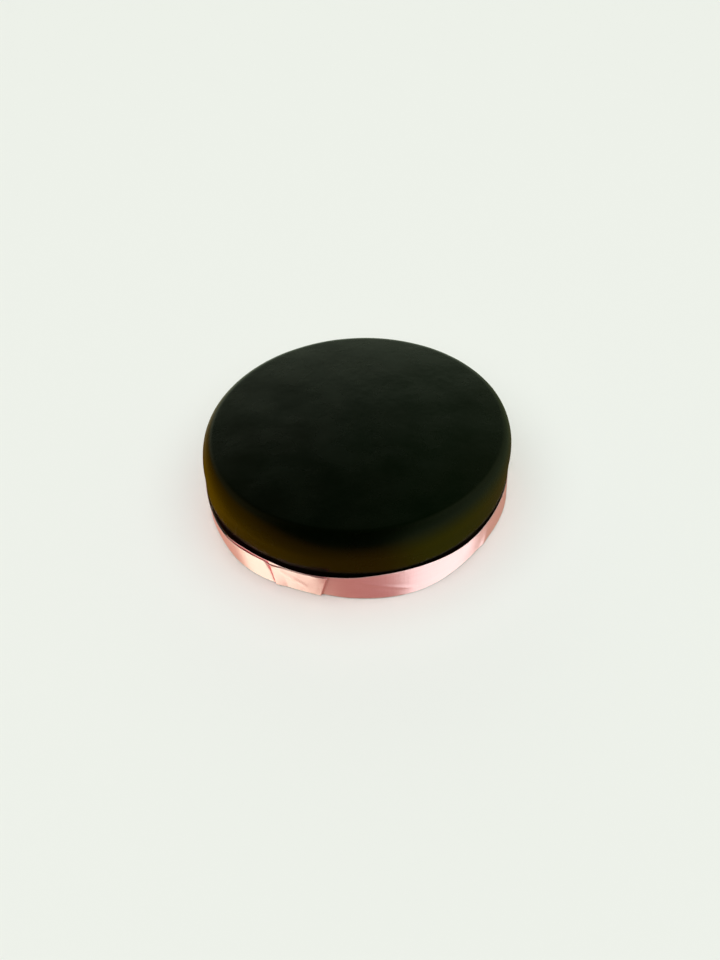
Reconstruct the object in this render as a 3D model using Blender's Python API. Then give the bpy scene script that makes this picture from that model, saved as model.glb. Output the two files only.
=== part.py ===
"""A round cake under smooth black rolled icing, with a pink satin ribbon wrapped round its foot.

Frame: the origin is the centre of the cake's flat base, +Z is up, and -Y is the front,
where the ribbon's loose end lies. All sizes are in metres and all azimuths in degrees,
turning from +X towards +Y.
"""
import math

import bmesh
import bpy

# Cake
WALL_RADIUS = 0.1063        # at its widest, where the wall meets the rounded shoulder
WALL_TOP = 0.0405
FOOT_TUCK = 0.0032          # the wall bows in by this much down to its foot
FOOT_ROUND = 0.0015         # small round where the wall meets the flat base
CAKE_HEIGHT = 0.0576
SHOULDER_REACH = 0.0083     # how far the shoulder comes in from the wall
SHOULDER_FULLNESS = 0.87    # 1 is a plain ellipse, less is a fuller curve
TOP_DOME = 0.0006           # rise of the top from the shoulder to its middle
WALL_LEAN = (0.0005, 0.0)       # the wall leans over by this much up to the shoulder
TOP_SHIFT = (0.0021, 0.0012)    # the top sits this far off the middle of the base
SWELL_HEIGHT = 0.022        # the wall's own swells are fullest at this height
SWELL_REACH = 0.0185        # and die out this far above and below it
WALL_STEPS = 7
SHOULDER_STEPS = 9
TOP_RINGS = 4
CAKE_SEGMENTS = 96

# The wall swells out by a millimetre or so where the paste is thicker. A swell, here and
# below, is (azimuth of its middle, half spread in degrees, height).
WALL_SWELLS = ((-145, 20, 0.0017), (-56, 18, 0.0012))

# Ribbon
RIBBON_WIDTH = 0.0242
RIBBON_THICKNESS = 0.0004
LAYER_GAP = 0.0003          # between the two layers where the ribbon overlaps itself
FOOT_HEIGHT = 0.0005        # the lower edge hangs just clear of what the cake stands on
TAIL_AZIMUTH = -142.7       # the under end, hidden behind the last turn
END_AZIMUTH = -103.5        # the outer end, at the front
SETTLE_ANGLE = 10.0         # past the outer end, the under layer eases out by this azimuth
RIBBON_STEP = 3.0           # azimuth between two sections of the ribbon

# Where the ribbon is pulled snug its lower and upper edges run at these radii, and it
# swells out in between.
FOOT_SNUG = 0.1046
FOOT_SWELLS = ((-170, 17, 0.0037), (-138.5, 17, 0.0031), (-72, 20, 0.0036), (-12, 24, 0.0038))
TOP_SNUG = 0.1071
TOP_SWELLS = ((-140, 17, 0.0034), (-106, 16.5, 0.0019), (-56, 18, 0.0021))
LAYER_SWELLS = ((-133, 5, 0.0005),)     # here the upper edges of the two layers part further

# The outer layer is creased near its end, and past the crease its foot springs out.
CREASE_AZIMUTH = -122.9
CREASE_SPRING = 0.0012
CREASE_SETTLE = 5.0         # azimuth over which it comes back in


def finish(name, colour, roughness):
    """A plain Principled material."""
    material = bpy.data.materials.new(name)
    material.use_nodes = True
    surface = material.node_tree.nodes["Principled BSDF"]
    surface.inputs["Base Color"].default_value = (*colour, 1.0)
    surface.inputs["Roughness"].default_value = roughness
    surface.inputs["Metallic"].default_value = 0.0
    return material


def add_object(name, solid, material):
    """Turn a bmesh into a smooth-shaded object of the scene."""
    mesh = bpy.data.meshes.new(name)
    bmesh.ops.recalc_face_normals(solid, faces=solid.faces)
    solid.to_mesh(mesh)
    solid.free()
    mesh.shade_smooth()
    mesh.set_sharp_from_angle(angle=math.radians(40))
    mesh.materials.append(material)
    thing = bpy.data.objects.new(name, mesh)
    bpy.context.scene.collection.objects.link(thing)
    return thing


def swell(azimuth, swells):
    """The height of these swells together at this azimuth."""
    total = 0
    for middle, spread, height in swells:
        away = (azimuth - middle + 180) % 360 - 180
        total += height * math.exp(-(away / spread) ** 2)
    return total


def wall_radius(height):
    """Radius of the wall at this height, up to where the shoulder starts."""
    return WALL_RADIUS - FOOT_TUCK * (1 - height / WALL_TOP) ** 2.5


def cake_outline():
    """(radius, height) points from the edge of the base, up the wall and in to the middle."""
    outline = []
    foot_radius = wall_radius(FOOT_ROUND)
    for step in range(4):
        angle = math.radians(90 * step / 3)
        outline.append((foot_radius - FOOT_ROUND * (1 - math.sin(angle)),
                        FOOT_ROUND * (1 - math.cos(angle))))
    for step in range(1, WALL_STEPS):
        height = FOOT_ROUND + (WALL_TOP - FOOT_ROUND) * step / WALL_STEPS
        outline.append((wall_radius(height), height))
    top_radius = WALL_RADIUS - SHOULDER_REACH
    rim_height = CAKE_HEIGHT - TOP_DOME
    for step in range(SHOULDER_STEPS + 1):
        angle = math.radians(90 * step / SHOULDER_STEPS)
        outward = max(math.cos(angle), 0) ** SHOULDER_FULLNESS
        upward = math.sin(angle) ** SHOULDER_FULLNESS
        outline.append((top_radius + SHOULDER_REACH * outward,
                        WALL_TOP + (rim_height - WALL_TOP) * upward))
    for ring in range(TOP_RINGS - 1, -1, -1):
        share = ring / TOP_RINGS
        outline.append((top_radius * share, rim_height + TOP_DOME * (1 - share ** 2)))
    return outline


def make_cake():
    """The cake: its outline turned round Z on one flat base face, its top set over a little."""
    solid = bmesh.new()
    corners = [solid.verts.new((radius, 0, height)) for radius, height in cake_outline()]
    edges = [solid.edges.new(pair) for pair in zip(corners, corners[1:])]
    bmesh.ops.spin(solid, geom=corners + edges, cent=(0, 0, 0), axis=(0, 0, 1),
                   angle=2 * math.pi, steps=CAKE_SEGMENTS, use_merge=True)
    bmesh.ops.remove_doubles(solid, verts=solid.verts, dist=1e-6)
    base_edges = [edge for edge in solid.edges if edge.is_boundary]
    bmesh.ops.contextual_create(solid, geom=base_edges)
    for corner in solid.verts:
        azimuth = math.atan2(corner.co.y, corner.co.x)
        off_fullest = (corner.co.z - SWELL_HEIGHT) / SWELL_REACH
        swollen = swell(math.degrees(azimuth), WALL_SWELLS) * max(1 - off_fullest ** 2, 0) ** 2
        corner.co.x += swollen * math.cos(azimuth)
        corner.co.y += swollen * math.sin(azimuth)
        up_wall = min(corner.co.z / WALL_TOP, 1)
        up_shoulder = (corner.co.z - WALL_TOP) / (CAKE_HEIGHT - TOP_DOME - WALL_TOP)
        up_shoulder = min(max(up_shoulder, 0), 1)
        corner.co.x += WALL_LEAN[0] * up_wall + (TOP_SHIFT[0] - WALL_LEAN[0]) * up_shoulder
        corner.co.y += WALL_LEAN[1] * up_wall + (TOP_SHIFT[1] - WALL_LEAN[1]) * up_shoulder
    return add_object("cake", solid, finish("fondant", (0.010, 0.011, 0.009), 0.38))


def under_layer(turn):
    """1 where this turn of the ribbon runs under the outer end, easing to 0 past it."""
    past_end = (turn - END_AZIMUTH) / SETTLE_ANGLE
    eased = min(max(past_end, 0), 1)
    return 1 - eased * eased * (3 - 2 * eased)


def crease_spring(turn):
    """How far the foot of the outer layer springs out past its crease."""
    past_crease = (turn - 360 - CREASE_AZIMUTH) / CREASE_SETTLE
    if 0 <= past_crease <= 1:
        return CREASE_SPRING * (1 - past_crease)
    return 0


def ribbon_point(turn, share):
    """A point of the ribbon's outer face; share runs from 0 at its foot to 1 at its top edge."""
    inset = (RIBBON_THICKNESS + LAYER_GAP) * under_layer(turn)
    foot = FOOT_SNUG + swell(turn, FOOT_SWELLS) + crease_spring(turn) - inset
    top = TOP_SNUG + swell(turn, TOP_SWELLS) - inset
    top -= swell(turn, LAYER_SWELLS) * under_layer(turn)
    rise = math.sqrt(RIBBON_WIDTH ** 2 - (top - foot) ** 2)
    height = FOOT_HEIGHT + rise * share
    radius = foot + (top - foot) * share
    angle = math.radians(turn)
    return radius * math.cos(angle), radius * math.sin(angle), height


def make_ribbon():
    """The ribbon: a flat strip wrapped once round the cake and on over its own tail."""
    whole_turn = 360 + END_AZIMUTH - TAIL_AZIMUTH
    strip = bmesh.new()
    bmesh.ops.create_grid(strip, x_segments=round(whole_turn / RIBBON_STEP), y_segments=2, size=0.5)
    for corner in strip.verts:
        turn = TAIL_AZIMUTH + (corner.co.x + 0.5) * whole_turn
        corner.co = ribbon_point(turn, corner.co.y + 0.5)
    ribbon = add_object("ribbon", strip, finish("satin", (0.78, 0.34, 0.33), 0.32))
    thicken = ribbon.modifiers.new("thickness", "SOLIDIFY")
    thicken.thickness = RIBBON_THICKNESS
    thicken.offset = -1
    return ribbon


def main():
    for old in list(bpy.data.objects):
        bpy.data.objects.remove(old)
    make_cake()
    make_ribbon()


main()
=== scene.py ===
import math

import bpy
import numpy as np
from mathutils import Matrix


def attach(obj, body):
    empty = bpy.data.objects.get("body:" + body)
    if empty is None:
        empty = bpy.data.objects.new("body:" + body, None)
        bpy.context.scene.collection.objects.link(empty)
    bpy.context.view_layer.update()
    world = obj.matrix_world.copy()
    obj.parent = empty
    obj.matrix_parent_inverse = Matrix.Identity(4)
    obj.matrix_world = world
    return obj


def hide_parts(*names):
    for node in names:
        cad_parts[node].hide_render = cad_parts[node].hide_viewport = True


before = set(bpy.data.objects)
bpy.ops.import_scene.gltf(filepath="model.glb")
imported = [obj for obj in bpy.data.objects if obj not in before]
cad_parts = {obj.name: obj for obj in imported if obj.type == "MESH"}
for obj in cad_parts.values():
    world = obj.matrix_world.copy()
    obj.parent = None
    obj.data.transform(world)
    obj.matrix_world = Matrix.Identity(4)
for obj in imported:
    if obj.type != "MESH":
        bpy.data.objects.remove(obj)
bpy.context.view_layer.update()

# --- Camera -----------------------------------------------------------------------------
# A phone held half a metre away. It looks down on the cake at about 45 degrees, and it is
# tilted a little off level.
CAMERA_PLACE = (-0.0008, -0.3578, 0.3589)
CAMERA_ANGLES = (44.861, 2.516, -2.940)
CAMERA_LENS = 25.61

bpy.ops.object.camera_add(location=CAMERA_PLACE,
                          rotation=[math.radians(angle) for angle in CAMERA_ANGLES])
camera = bpy.context.object
camera.name = "camera"
camera.data.lens = CAMERA_LENS
camera.data.clip_start = 0.01
bpy.context.scene.camera = camera

# --- Floor ------------------------------------------------------------------------------
# A plain white studio floor with a matt painted face, wide enough to fill the picture behind
# the cake. It is kept out of the reflections, so the icing mirrors the room alone.
FLOOR_WIDTH = 14.0
FLOOR_WHITE = (0.83, 0.84, 0.84, 1.0)

bpy.ops.mesh.primitive_plane_add(size=FLOOR_WIDTH, location=(0, 0, 0))
floor = bpy.context.object
floor.name = "floor"
floor_paint = bpy.data.materials.new("floor_paint")
floor_paint.use_nodes = True
floor_shader = floor_paint.node_tree.nodes["Principled BSDF"]
floor_shader.inputs["Base Color"].default_value = FLOOR_WHITE
floor_shader.inputs["Roughness"].default_value = 0.9
floor_shader.inputs["Specular IOR Level"].default_value = 0.1
floor.data.materials.append(floor_paint)
floor.visible_glossy = False

# --- Cake -------------------------------------------------------------------------------
# A round cake under black rolled icing, laid over it in one sheet and smoothed down by
# hand, so the wall bows a little, the top edge is a broad soft round, and no part of the
# surface is quite flat.
WALL_RADIUS = 0.1063            # at its widest, where the wall meets the rounded shoulder
WALL_TOP = 0.0405
FOOT_TUCK = 0.0032              # the wall bows in by this much down to its foot
FOOT_ROUND = 0.0015
CAKE_HEIGHT = 0.0576
SHOULDER_REACH = 0.0083         # how far the shoulder comes in from the wall
SHOULDER_FULLNESS = 0.87        # 1 is a plain ellipse, less is a fuller curve
TOP_DOME = 0.0006
WALL_LEAN = (0.0005, 0.0)       # the wall leans over by this much up to the shoulder
TOP_SHIFT = (0.0021, 0.0012)    # the top sits this far off the middle of the base
SWELL_HEIGHT = 0.022            # the wall's own swells are fullest at this height
SWELL_REACH = 0.0185            # and die out this far above and below it
WALL_SWELLS = ((-168, 12, 0.0006), (-145, 20, 0.0017), (-56, 18, 0.0012))
ICING_SEGMENTS = 256
WAVY_ABOVE = 0.01               # the pressed unevenness grows in over this height
GREEN_BLACK = (0.0004, 0.0046, 0.0004, 1.0)
BROWN_BLACK = (0.0024, 0.0040, 0.0006, 1.0)
SUGAR_POWDER = (0.0008, 0.0012, 0.0006, 1.0)
NOISE_MIDDLE = (0.35, 0.65)     # most of a noise's values lie between these two


def wall_radius(height):
    """Radius of the wall at this height, up to where the shoulder starts."""
    return WALL_RADIUS - FOOT_TUCK * (1 - height / WALL_TOP) ** 2.5


def icing_rings():
    """(radius, height) of each ring of the icing, from the base up the wall and over the top."""
    rings = []
    foot_radius = wall_radius(FOOT_ROUND)
    for angle in np.radians(np.linspace(0, 90, 5)):
        rings.append((foot_radius - FOOT_ROUND * (1 - math.sin(angle)),
                      FOOT_ROUND * (1 - math.cos(angle))))
    for height in np.linspace(FOOT_ROUND, WALL_TOP, 24)[1:-1]:
        rings.append((wall_radius(height), height))
    top_radius = WALL_RADIUS - SHOULDER_REACH
    rim_height = CAKE_HEIGHT - TOP_DOME
    for angle in np.radians(np.linspace(0, 90, 28)):
        outward = max(math.cos(angle), 0) ** SHOULDER_FULLNESS
        upward = math.sin(angle) ** SHOULDER_FULLNESS
        rings.append((top_radius + SHOULDER_REACH * outward,
                      WALL_TOP + (rim_height - WALL_TOP) * upward))
    for inward in np.linspace(1, 0.02, 48)[1:]:
        rings.append((top_radius * inward, rim_height + TOP_DOME * (1 - inward ** 2)))
    return rings


def ring_middle(height):
    """Where the middle of the ring at this height lies, as the top sits a little to one side."""
    up_wall = min(height / WALL_TOP, 1)
    up_shoulder = (height - WALL_TOP) / (CAKE_HEIGHT - TOP_DOME - WALL_TOP)
    up_shoulder = min(max(up_shoulder, 0), 1)
    return (WALL_LEAN[0] * up_wall + (TOP_SHIFT[0] - WALL_LEAN[0]) * up_shoulder,
            WALL_LEAN[1] * up_wall + (TOP_SHIFT[1] - WALL_LEAN[1]) * up_shoulder,
            height)


def swell(azimuth, swells):
    """Height in metres of some swells together; each is (middle, half spread, height)."""
    total = np.zeros_like(azimuth)
    for middle, spread, height in swells:
        away = (azimuth - middle + 180) % 360 - 180
        total += height * np.exp(-(away / spread) ** 2)
    return total


def mesh_points(thing):
    """The places of a mesh's points, one row for each."""
    points = np.empty(len(thing.data.vertices) * 3)
    thing.data.vertices.foreach_get("co", points)
    return points.reshape(-1, 3)


def move_points(thing, points):
    """Put a mesh's points at these places."""
    thing.data.vertices.foreach_set("co", points.ravel())
    thing.data.update()


rings = icing_rings()
bpy.ops.object.select_all(action="DESELECT")
bpy.ops.mesh.primitive_circle_add(vertices=ICING_SEGMENTS, radius=rings[0][0],
                                  fill_type="NGON", location=(0, 0, rings[0][1]))
icing = bpy.context.object
icing.name = "icing"
bpy.ops.object.mode_set(mode="EDIT")
for (radius, height), (next_radius, next_height) in zip(rings, rings[1:]):
    middle, next_middle = ring_middle(height), ring_middle(next_height)
    step = [after - before for before, after in zip(middle, next_middle)]
    bpy.ops.mesh.extrude_region_move(TRANSFORM_OT_translate={"value": step})
    shrink = next_radius / radius
    bpy.ops.transform.resize(value=(shrink, shrink, 1), center_override=next_middle)
bpy.ops.mesh.poke()
bpy.ops.mesh.select_all(action="SELECT")
bpy.ops.mesh.normals_make_consistent(inside=False)
bpy.ops.object.mode_set(mode="OBJECT")
bpy.ops.object.shade_smooth()

# Where the paste was laid on thicker the wall swells out by a millimetre or so.
paste_points = mesh_points(icing)
bearing = np.arctan2(paste_points[:, 1], paste_points[:, 0])
off_fullest = (paste_points[:, 2] - SWELL_HEIGHT) / SWELL_REACH
swollen = swell(np.degrees(bearing), WALL_SWELLS) * np.clip(1 - off_fullest ** 2, 0, 1) ** 2
paste_points[:, 0] += swollen * np.cos(bearing)
paste_points[:, 1] += swollen * np.sin(bearing)
move_points(icing, paste_points)

surface = icing.vertex_groups.new(name="surface")
for corner in icing.data.vertices:
    above_foot = min(max((corner.co.z - FOOT_ROUND) / WAVY_ABOVE, 0), 1)
    surface.add([corner.index], above_foot, "REPLACE")


def press(name, size, depth):
    """Soft unevenness left by hands and smoother, about size across and depth deep."""
    pattern = bpy.data.textures.new(name, "CLOUDS")
    pattern.noise_scale = size
    pattern.noise_depth = 1
    unevenness = icing.modifiers.new(name, "DISPLACE")
    unevenness.texture = pattern
    unevenness.texture_coords = "LOCAL"
    unevenness.vertex_group = "surface"
    unevenness.strength = depth
    unevenness.mid_level = 0.5
    bpy.ops.object.modifier_apply(modifier=name)


press("wide_unevenness", size=0.050, depth=0.0005)
press("small_unevenness", size=0.014, depth=0.00008)

icing_paste = bpy.data.materials.new("icing_paste")
icing_paste.use_nodes = True
paste = icing_paste.node_tree
paste_shader = paste.nodes["Principled BSDF"]
paste_shader.inputs["Specular IOR Level"].default_value = 0.4


def paste_noise(scale, detail, roughness):
    """A noise over the icing in Object coordinates; scale is in waves per metre."""
    place = paste.nodes.new("ShaderNodeTexCoord")
    noise = paste.nodes.new("ShaderNodeTexNoise")
    noise.inputs["Scale"].default_value = scale
    noise.inputs["Detail"].default_value = detail
    noise.inputs["Roughness"].default_value = roughness
    paste.links.new(place.outputs["Object"], noise.inputs["Vector"])
    return noise.outputs["Fac"]


def rescaled(tree, value, start, end, low=0, high=1):
    """A value that runs from start to end, turned into one that runs from low to high."""
    scale = tree.nodes.new("ShaderNodeMapRange")
    scale.inputs["From Min"].default_value = start
    scale.inputs["From Max"].default_value = end
    scale.inputs["To Min"].default_value = low
    scale.inputs["To Max"].default_value = high
    tree.links.new(value, scale.inputs["Value"])
    return scale.outputs["Result"]


def blend(tree, share, tone, other_tone):
    """One tone where the share is 0 and the other where it is 1; a tone may be a node's output."""
    mix = tree.nodes.new("ShaderNodeMix")
    mix.data_type = "RGBA"
    tree.links.new(share, mix.inputs["Factor"])
    for socket, given in (("A", tone), ("B", other_tone)):
        if isinstance(given, tuple):
            mix.inputs[socket].default_value = given
        else:
            tree.links.new(given, mix.inputs[socket])
    return mix


def relief(tree, pattern, strength, depth, over=None):
    """A pattern pressed into the surface, over another relief where one is given."""
    bump = tree.nodes.new("ShaderNodeBump")
    bump.inputs["Strength"].default_value = strength
    bump.inputs["Distance"].default_value = depth
    tree.links.new(pattern, bump.inputs["Height"])
    if over is not None:
        tree.links.new(over, bump.inputs["Normal"])
    return bump.outputs["Normal"]


# The dye is uneven: soft patches lean to green or to brown, under a fine powdery mottling.
brownness = rescaled(paste, paste_noise(22, 2, 0.5), *NOISE_MIDDLE)
patches = blend(paste, brownness, GREEN_BLACK, BROWN_BLACK).outputs["Result"]
powderiness = rescaled(paste, paste_noise(1400, 3, 0.6), *NOISE_MIDDLE)
powdered = blend(paste, powderiness, patches, SUGAR_POWDER)
powdered.blend_type = "ADD"
paste.links.new(powdered.outputs["Result"], paste_shader.inputs["Base Color"])

# Hands and smoother leave it shinier in some patches than in others.
paste.links.new(rescaled(paste, paste_noise(35, 3, 0.55), *NOISE_MIDDLE, 0.24, 0.29),
                paste_shader.inputs["Roughness"])

# The sugar's fine grain, and shallow dimples a few millimetres across.
grain = relief(paste, paste_noise(1900, 2, 0.5), strength=0.35, depth=0.00006)
dimples = relief(paste, paste_noise(210, 2, 0.5), strength=0.5, depth=0.0001, over=grain)
paste.links.new(dimples, paste_shader.inputs["Normal"])

icing.data.materials.append(icing_paste)
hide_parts("cake")
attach(icing, "root")

# --- Ribbon -----------------------------------------------------------------------------
# A pink satin ribbon, wrapped once round the foot of the cake and on over its own tail. It is
# pulled snug in places and swells out between them. Near its end it has been folded once, and
# past that crease its foot springs out.
RIBBON_WIDTH = 0.0242
RIBBON_THICKNESS = 0.0003
LAYER_STEP = 0.0007             # the covered layer lies this much further in
FOOT_HEIGHT = 0.0005
TAIL_AZIMUTH = -142.7           # the covered end
END_AZIMUTH_AT_FOOT = -105.5    # the loose end, which is cut a little askew
END_AZIMUTH_AT_TOP = -101.9
SETTLE_ANGLE = 10.0             # past the loose end the covered layer eases out over this angle
FOOT_SNUG = 0.1046
FOOT_SWELLS = ((-170, 17, 0.0037), (-138.5, 17, 0.0031), (-72, 20, 0.0036), (-12, 24, 0.0038),
               (-40, 2, 0.0006))
TOP_SNUG = 0.1071
TOP_SWELLS = ((-140, 17, 0.0034), (-106, 16.5, 0.0019), (-56, 18, 0.0021))
TOP_RIPPLES = ((-119.5, 2, 0.0006), (-105, 3, 0.0004))
LAYER_SWELLS = ((-133, 5, 0.0005),)
CREASE_AZIMUTH = -122.9
CREASE_DEPTH = 0.00045
CREASE_SPREAD = 0.35
CREASE_SPRING = 0.0012
SPRING_OUT = 0.5                # past the crease the foot springs out within this azimuth,
SPRING_BACK = 5.0               # and it is back in by this one
TAIL_LIFT = 0.0008              # the tail lies this much higher than the turn that covers it
TAIL_LIFT_IN = 5.0              # it rises over this azimuth from its end
TAIL_LIFT_OUT = (1.0, 5.0)      # and comes down between these azimuths past the crease
NOTCH_DEPTH = 0.0021            # the top edge dips this far at the crease,
NOTCH_BEFORE = 1.6              # over this azimuth before it
NOTCH_AFTER = 4.8               # and this azimuth past it
END_STAND_OFF = 0.0008
END_RISE = 0.0007
END_REACH = 9.0                 # the loose end starts to stand off this far before it
END_FOLD = ((-123, 1.0), (-109.5, 0.36), 2.3, 0.00032)
FRONT_FOLD = ((-92, 0.76), (-72, 0.17), 1.3, 0.00040)
ALONG = 1200
ACROSS = 24
WARP_PINK = (0.72, 0.195, 0.202, 1.0)
LIGHT_WARP_PINK = (0.80, 0.27, 0.29, 1.0)
# Crimson painted shade, for the shadow in the crease and on the covered tail between the layers.
CRIMSON_PAINTED_SHADE = (0.75, 0.11, 0.14, 1.0)
# The pale selvedge pink is partly the selvedge's own colour and partly a painted highlight along
# the edges.
SELVEDGE_AND_HIGHLIGHT_PINK = (0.86, 0.46, 0.42, 1.0)
SELVEDGE_AND_HIGHLIGHT = (0.0006, 0.0004)     # the pale selvedge, partly a painted highlight, fades in between these distances from an edge,
CREASE_SHADE_BAND = (0.0008, 0.0004)      # the crimson painted shade and the crushed, rougher threads between these distances from the crease, and the crimson painted shade on the covered tail between these distances from its end
SHADED_TAIL = (0.036, 0.035)      # and the dull tail between these distances from its end
CREASE_SHADE_ANGLE = 0.33            # faces nearer the crease than this azimuth get the shineless copy of the satin, as painted shade


def fold(azimuth, share, start, end, spread, height):
    """A soft ridge along the line between two (azimuth, share of the width) points.

    Its spread is in millimetres and its height in metres, and it dies out at both ends.
    A degree of azimuth is 1.87 mm along the ribbon, and its whole width about 25 mm.
    """
    millimetres = np.array([1.87, 25.0])
    place = np.stack([azimuth, share], axis=1) * millimetres
    first, last = np.array(start) * millimetres, np.array(end) * millimetres
    run = last - first
    along = np.clip((place - first) @ run / (run @ run), 0, 1)
    away = np.linalg.norm(place - first - along[:, None] * run, axis=1)
    return height * np.exp(-(away / spread) ** 2) * (1 - (2 * along - 1) ** 4)


bpy.ops.object.select_all(action="DESELECT")
bpy.ops.mesh.primitive_grid_add(x_subdivisions=ALONG, y_subdivisions=ACROSS, size=1)
ribbon = bpy.context.object
ribbon.name = "satin_ribbon"
strip = mesh_points(ribbon) + 0.5
share = strip[:, 1]
end_azimuth = END_AZIMUTH_AT_FOOT + (END_AZIMUTH_AT_TOP - END_AZIMUTH_AT_FOOT) * share
turn = TAIL_AZIMUTH + strip[:, 0] * (360 + end_azimuth - TAIL_AZIMUTH)
outer = turn > 180
azimuth = np.where(outer, turn - 360, turn)

past_end = np.clip((turn - end_azimuth) / SETTLE_ANGLE, 0, 1)
under = 1 - past_end * past_end * (3 - 2 * past_end)
past_crease = azimuth - CREASE_AZIMUTH
sprung = np.clip(past_crease / SPRING_OUT, 0, 1) * np.clip(1 - past_crease / SPRING_BACK, 0, 1)
sprung = np.where(outer, sprung, 0)

foot = FOOT_SNUG + swell(azimuth, FOOT_SWELLS) + CREASE_SPRING * sprung - LAYER_STEP * under
top = TOP_SNUG + swell(azimuth, TOP_SWELLS) - (LAYER_STEP + swell(azimuth, LAYER_SWELLS)) * under
width_upright = np.sqrt(RIBBON_WIDTH ** 2 - (top - foot) ** 2)
still_lifted = (TAIL_LIFT_OUT[1] - past_crease) / (TAIL_LIFT_OUT[1] - TAIL_LIFT_OUT[0])
lifted = np.minimum((azimuth - TAIL_AZIMUTH) / TAIL_LIFT_IN, still_lifted)
lifted = np.where(outer, 0, np.clip(lifted, 0, 1))
height_there = FOOT_HEIGHT + width_upright * share + TAIL_LIFT * lifted
reach = foot + (top - foot) * share

# On the outer layer: the crease itself, the notch where its top edge dips at the crease, the
# loose end that stands off a little, and a slanting fold across it. Further on, a slanting
# fold at the front.
reach -= np.where(outer, CREASE_DEPTH * np.exp(-(past_crease / CREASE_SPREAD) ** 2), 0)
notch = np.clip((past_crease + NOTCH_BEFORE) / NOTCH_BEFORE, 0, 1)
notch *= np.clip(1 - past_crease / NOTCH_AFTER, 0, 1)
height_there -= np.where(outer, NOTCH_DEPTH * notch * share ** 4, 0)
standing = np.clip(1 - (end_azimuth - azimuth) / END_REACH, 0, 1)
reach += np.where(outer, END_STAND_OFF * standing ** 2, 0)
height_there += np.where(outer, END_RISE * standing * share, 0)
reach += np.where(outer, swell(azimuth, TOP_RIPPLES) * share ** 5, 0)
reach += np.where(outer, fold(azimuth, share, *END_FOLD), 0)
reach += fold(azimuth, share, *FRONT_FOLD)

bearing = np.radians(turn)
move_points(ribbon, np.stack([reach * np.cos(bearing), reach * np.sin(bearing), height_there],
                             axis=1))

# The ribbon's own map in metres: how far along it from the tail, and how far up its width.
CREASE_ALONG = math.radians(360 + CREASE_AZIMUTH - TAIL_AZIMUTH) * FOOT_SNUG
length = np.radians(turn - TAIL_AZIMUTH) * FOOT_SNUG
strip_map = np.stack([length, share * RIBBON_WIDTH], axis=1)
corners = np.empty(len(ribbon.data.loops), dtype=int)
ribbon.data.loops.foreach_get("vertex_index", corners)
ribbon.data.uv_layers.active.data.foreach_set("uv", strip_map[corners].ravel())
ribbon.data.uv_layers.active.name = "strip"

# Along the crease, where the threads are also crushed, and on the covered tail, the faces take the
# second
# material: a copy of the satin without its shine, as painted shade. The third is for the ribbon's
# back.
face_turn = turn[corners].reshape(-1, 4).mean(axis=1)
off_crease = np.abs(face_turn - 360 - CREASE_AZIMUTH)
shaded_faces = (off_crease < CREASE_SHADE_ANGLE) | (face_turn < CREASE_AZIMUTH)
ribbon.data.polygons.foreach_set("material_index", shaded_faces.astype(int))
ribbon.data.update()
bpy.ops.object.shade_smooth()
thickness = ribbon.modifiers.new("thickness", "SOLIDIFY")
thickness.thickness = RIBBON_THICKNESS
thickness.offset = -1
thickness.material_offset = 2
satin = bpy.data.materials.new("satin")
for slot in range(3):
    ribbon.data.materials.append(satin)
bpy.ops.object.modifier_apply(modifier="thickness")

satin.use_nodes = True
weave = satin.node_tree
satin_shader = weave.nodes["Principled BSDF"]
satin_shader.inputs["IOR"].default_value = 5.0
satin_shader.inputs["Specular IOR Level"].default_value = 0.65
satin_shader.inputs["Specular Tint"].default_value = (1.0, 0.93, 0.84, 1.0)
satin_shader.inputs["Anisotropic"].default_value = 1.0
satin_shader.inputs["Anisotropic Rotation"].default_value = 0.25
lengthwise = weave.nodes.new("ShaderNodeTangent")
lengthwise.direction_type = "UV_MAP"
lengthwise.uv_map = "strip"
weave.links.new(lengthwise.outputs["Tangent"], satin_shader.inputs["Tangent"])


def threads(along, across):
    """A noise stretched into threads; along and across are in waves per metre."""
    place = weave.nodes.new("ShaderNodeUVMap")
    place.uv_map = "strip"
    stretch = weave.nodes.new("ShaderNodeMapping")
    stretch.inputs["Scale"].default_value = (along, across, 1)
    noise = weave.nodes.new("ShaderNodeTexNoise")
    noise.noise_dimensions = "2D"
    noise.inputs["Scale"].default_value = 1
    noise.inputs["Detail"].default_value = 2
    weave.links.new(place.outputs["UV"], stretch.inputs["Vector"])
    weave.links.new(stretch.outputs["Vector"], noise.inputs["Vector"])
    return noise.outputs["Fac"]


def maths(tree, operation, *values):
    """One step of arithmetic; each value is a number or a node's output."""
    step = tree.nodes.new("ShaderNodeMath")
    step.operation = operation
    for given, socket in zip(values, step.inputs):
        if isinstance(given, (int, float)):
            socket.default_value = given
        else:
            tree.links.new(given, socket)
    return step.outputs["Value"]


# Long pink warp threads, a little lighter and darker. Both edges have a tight pale selvedge, whose
# light colour is partly a painted highlight. The crease and the covered tail are painted crimson
# as shade, and along the crease the threads are crushed and rougher.
strip_place = weave.nodes.new("ShaderNodeUVMap")
strip_place.uv_map = "strip"
strip_axes = weave.nodes.new("ShaderNodeSeparateXYZ")
weave.links.new(strip_place.outputs["UV"], strip_axes.inputs["Vector"])
along_strip, up_width = strip_axes.outputs["X"], strip_axes.outputs["Y"]
down_width = maths(weave, "SUBTRACT", RIBBON_WIDTH, up_width)
from_edge = maths(weave, "MINIMUM", up_width, down_width)
# The pale selvedge along both edges, partly a painted highlight.
selvedge_and_highlight = rescaled(weave, from_edge, *SELVEDGE_AND_HIGHLIGHT)
# Painted shade: the band along the crease and the covered tail are mixed to crimson below.
from_crease = maths(weave, "ABSOLUTE", maths(weave, "SUBTRACT", along_strip, CREASE_ALONG))
shaded_crease = rescaled(weave, from_crease, *CREASE_SHADE_BAND)
tail = rescaled(weave, along_strip, *SHADED_TAIL)

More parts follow.
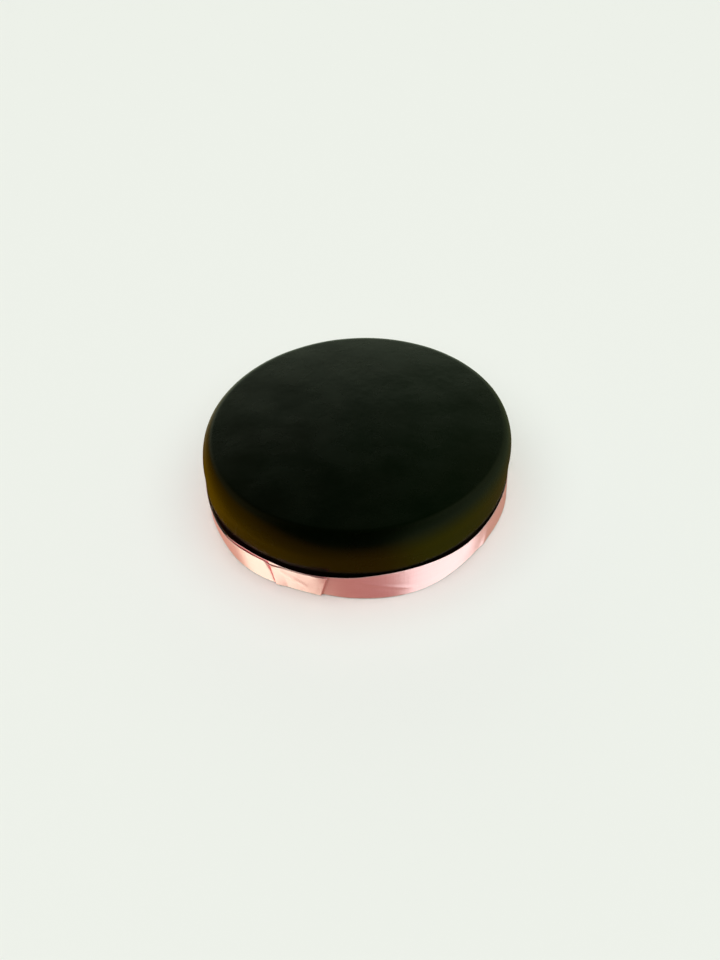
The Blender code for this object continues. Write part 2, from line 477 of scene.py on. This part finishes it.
warp = threads(60, 3600)
pinks = blend(weave, rescaled(weave, warp, *NOISE_MIDDLE), WARP_PINK, LIGHT_WARP_PINK)
painted_shade = blend(weave, maths(weave, "MAXIMUM", shaded_crease, tail), pinks.outputs["Result"],
                CRIMSON_PAINTED_SHADE)
edged = blend(weave, selvedge_and_highlight, painted_shade.outputs["Result"], SELVEDGE_AND_HIGHLIGHT_PINK)
weave.links.new(edged.outputs["Result"], satin_shader.inputs["Base Color"])
sheen = rescaled(weave, threads(25, 500), 0.3, 0.7, 0.46, 0.54)
weave.links.new(maths(weave, "MAXIMUM", sheen, shaded_crease), satin_shader.inputs["Roughness"])

# The warp stands up in fine lines along the ribbon, and the weft in broader ones across it.
warp_lines = relief(weave, warp, strength=0.4, depth=0.00004)
weft_lines = relief(weave, threads(900, 40), strength=0.7, depth=0.00005, over=warp_lines)
weave.links.new(weft_lines, satin_shader.inputs["Normal"])

# The copy for the crease and the tail, a painted shade, and the ribbon's back, towards the cake,
# are the same satin without shine.
for slot, name in ((1, "shaded_satin"), (2, "satin_back")):
    dull = satin.copy()
    dull.name = name
    dull_shader = dull.node_tree.nodes["Principled BSDF"]
    dull_shader.inputs["IOR"].default_value = 1.45
    dull_shader.inputs["Specular IOR Level"].default_value = 0.2
    dull_shader.inputs["Anisotropic"].default_value = 0.0
    ribbon.data.materials[slot] = dull
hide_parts("ribbon")
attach(ribbon, "root")

# --- Light ------------------------------------------------------------------------------
# The room as the icing mirrors it: pale low down behind the cake, grey to the right, warm low
# down to the left and in front, and dim overhead. Four soft boxes stand round the cake and
# give the satin its bright bands, and a broad lamp overhead lights the floor evenly.
ROOM_PALE = (0.77, 0.91, 0.66, 1.0)
ROOM_GREY = (0.25, 0.32, 0.16, 1.0)
ROOM_OLIVE = (0.19, 0.17, 0.07, 1.0)
WARM_FRONT = (0.31, 0.14, 0.0, 1.0)
WARM_LEFT = (0.40, 0.20, 0.0, 1.0)
WARM_RIGHT = (0.41, 0.35, 0.0, 1.0)
SHADE_BEHIND = (0.10, 0.055, 0.004, 1.0)
DIM_LEFT = (0.002, 0.009, 0.0, 1.0)
DIM_RIGHT = (0.002, 0.042, 0.001, 1.0)
BACKDROP = (0.80, 0.83, 0.82, 1.0)
BACKWARD_SLOPE = 1.37
BOX_ELEVATION = 15
BOX_DISTANCE = 1.2

world = bpy.data.worlds.new("studio")
bpy.context.scene.world = world
world.use_nodes = True
room = world.node_tree
direction = room.nodes.new("ShaderNodeTexCoord")
axes = room.nodes.new("ShaderNodeSeparateXYZ")
room.links.new(direction.outputs["Generated"], axes.inputs["Vector"])


def room_fade(value, start, end):
    """A smooth step from 0 to 1 of a value taken from the direction of the ray."""
    fade = room.nodes.new("ShaderNodeMapRange")
    fade.interpolation_type = "SMOOTHSTEP"
    fade.inputs["From Min"].default_value = start
    fade.inputs["From Max"].default_value = end
    room.links.new(value, fade.inputs["Value"])
    return fade.outputs["Result"]


def room_mix(share, tone, other_tone):
    """One tone of the room where the share is 0, and the other where it is 1."""
    return blend(room, share, tone, other_tone).outputs["Result"]


# A direction of the room runs across, back and up. Its rise is its height above a plane that
# slopes up towards the back.
across, back, up = axes.outputs["X"], axes.outputs["Y"], axes.outputs["Z"]
rise = maths(room, "MULTIPLY_ADD", back, -BACKWARD_SLOPE, up)

# The left wall, the right wall, and what lies between them, each from its foot upwards.
warm_left = room_mix(room_fade(back, -0.45, -0.3), WARM_FRONT, WARM_LEFT)
olive_left = room_mix(room_fade(up, 0.1, 0.5), warm_left, ROOM_OLIVE)
left = room_mix(room_fade(rise, 0.4, 1.25), olive_left, DIM_LEFT)
warm_right = room_mix(room_fade(back, -0.65, 0.57), WARM_RIGHT, SHADE_BEHIND)
grey_right = room_mix(room_fade(up, -0.94, 0.18), warm_right, ROOM_GREY)
right = room_mix(room_fade(rise, 0.51, 2.32), grey_right, DIM_RIGHT)
dim = room_mix(room_fade(across, -0.02, 0.06), DIM_LEFT, DIM_RIGHT)
pale = room_mix(room_fade(up, 0.49, 0.57), ROOM_PALE, dim)
behind = room_mix(room_fade(up, -0.45, -0.37), SHADE_BEHIND, pale)
middle = room_mix(room_fade(back, -0.1, -0.02), left, behind)
left_half = room_mix(room_fade(across, -0.8, -0.2), left, middle)
whole_room = room_mix(room_fade(across, 0.12, 0.54), left_half, right)

# The camera itself sees a plain pale backdrop.
sight = room.nodes.new("ShaderNodeLightPath")
seen = room_mix(sight.outputs["Is Camera Ray"], whole_room, BACKDROP)
room.links.new(seen, room.nodes["Background"].inputs["Color"])


def lights_only(lamp, thing):
    """Let a lamp light this one thing and nothing else."""
    lit = bpy.data.collections.new(lamp.name + "_lights")
    lit.objects.link(thing)
    lamp.light_linking.receiver_collection = lit


def add_soft_box(name, azimuth, size, power, colour):
    """A square area lamp low down beside the cake, aimed at it, that lights the ribbon alone."""
    sideways, upward = math.radians(azimuth), math.radians(BOX_ELEVATION)
    place = (BOX_DISTANCE * math.cos(sideways) * math.cos(upward),
             BOX_DISTANCE * math.sin(sideways) * math.cos(upward),
             BOX_DISTANCE * math.sin(upward))
    bpy.ops.object.light_add(type="AREA", location=place,
                             rotation=(math.radians(90 - BOX_ELEVATION), 0,
                                       math.radians(azimuth + 90)))
    lamp = bpy.context.object
    lamp.name = name
    lamp.data.shape = "SQUARE"
    lamp.data.size = size
    lamp.data.energy = power
    lamp.data.color = colour
    lights_only(lamp, ribbon)


add_soft_box("right_box", azimuth=-41, size=1.25, power=18.5, colour=(0.95, 0.88, 1.04))
add_soft_box("left_box", azimuth=-145, size=0.8, power=11, colour=(1.0, 0.98, 0.88))
add_soft_box("far_left_box", azimuth=170, size=1.1, power=1.5, colour=(1.0, 0.92, 1.1))
add_soft_box("back_box", azimuth=105, size=1.0, power=6, colour=(1.0, 0.95, 1.0))

bpy.ops.object.light_add(type="SUN", location=(0, 0, 2), rotation=(math.radians(12), 0, 0))
overhead = bpy.context.object
overhead.name = "overhead"
overhead.data.angle = math.radians(100)
overhead.data.energy = 2.9
lights_only(overhead, floor)

# --- Finish -----------------------------------------------------------------------------
bpy.context.scene.view_settings.view_transform = "Standard"
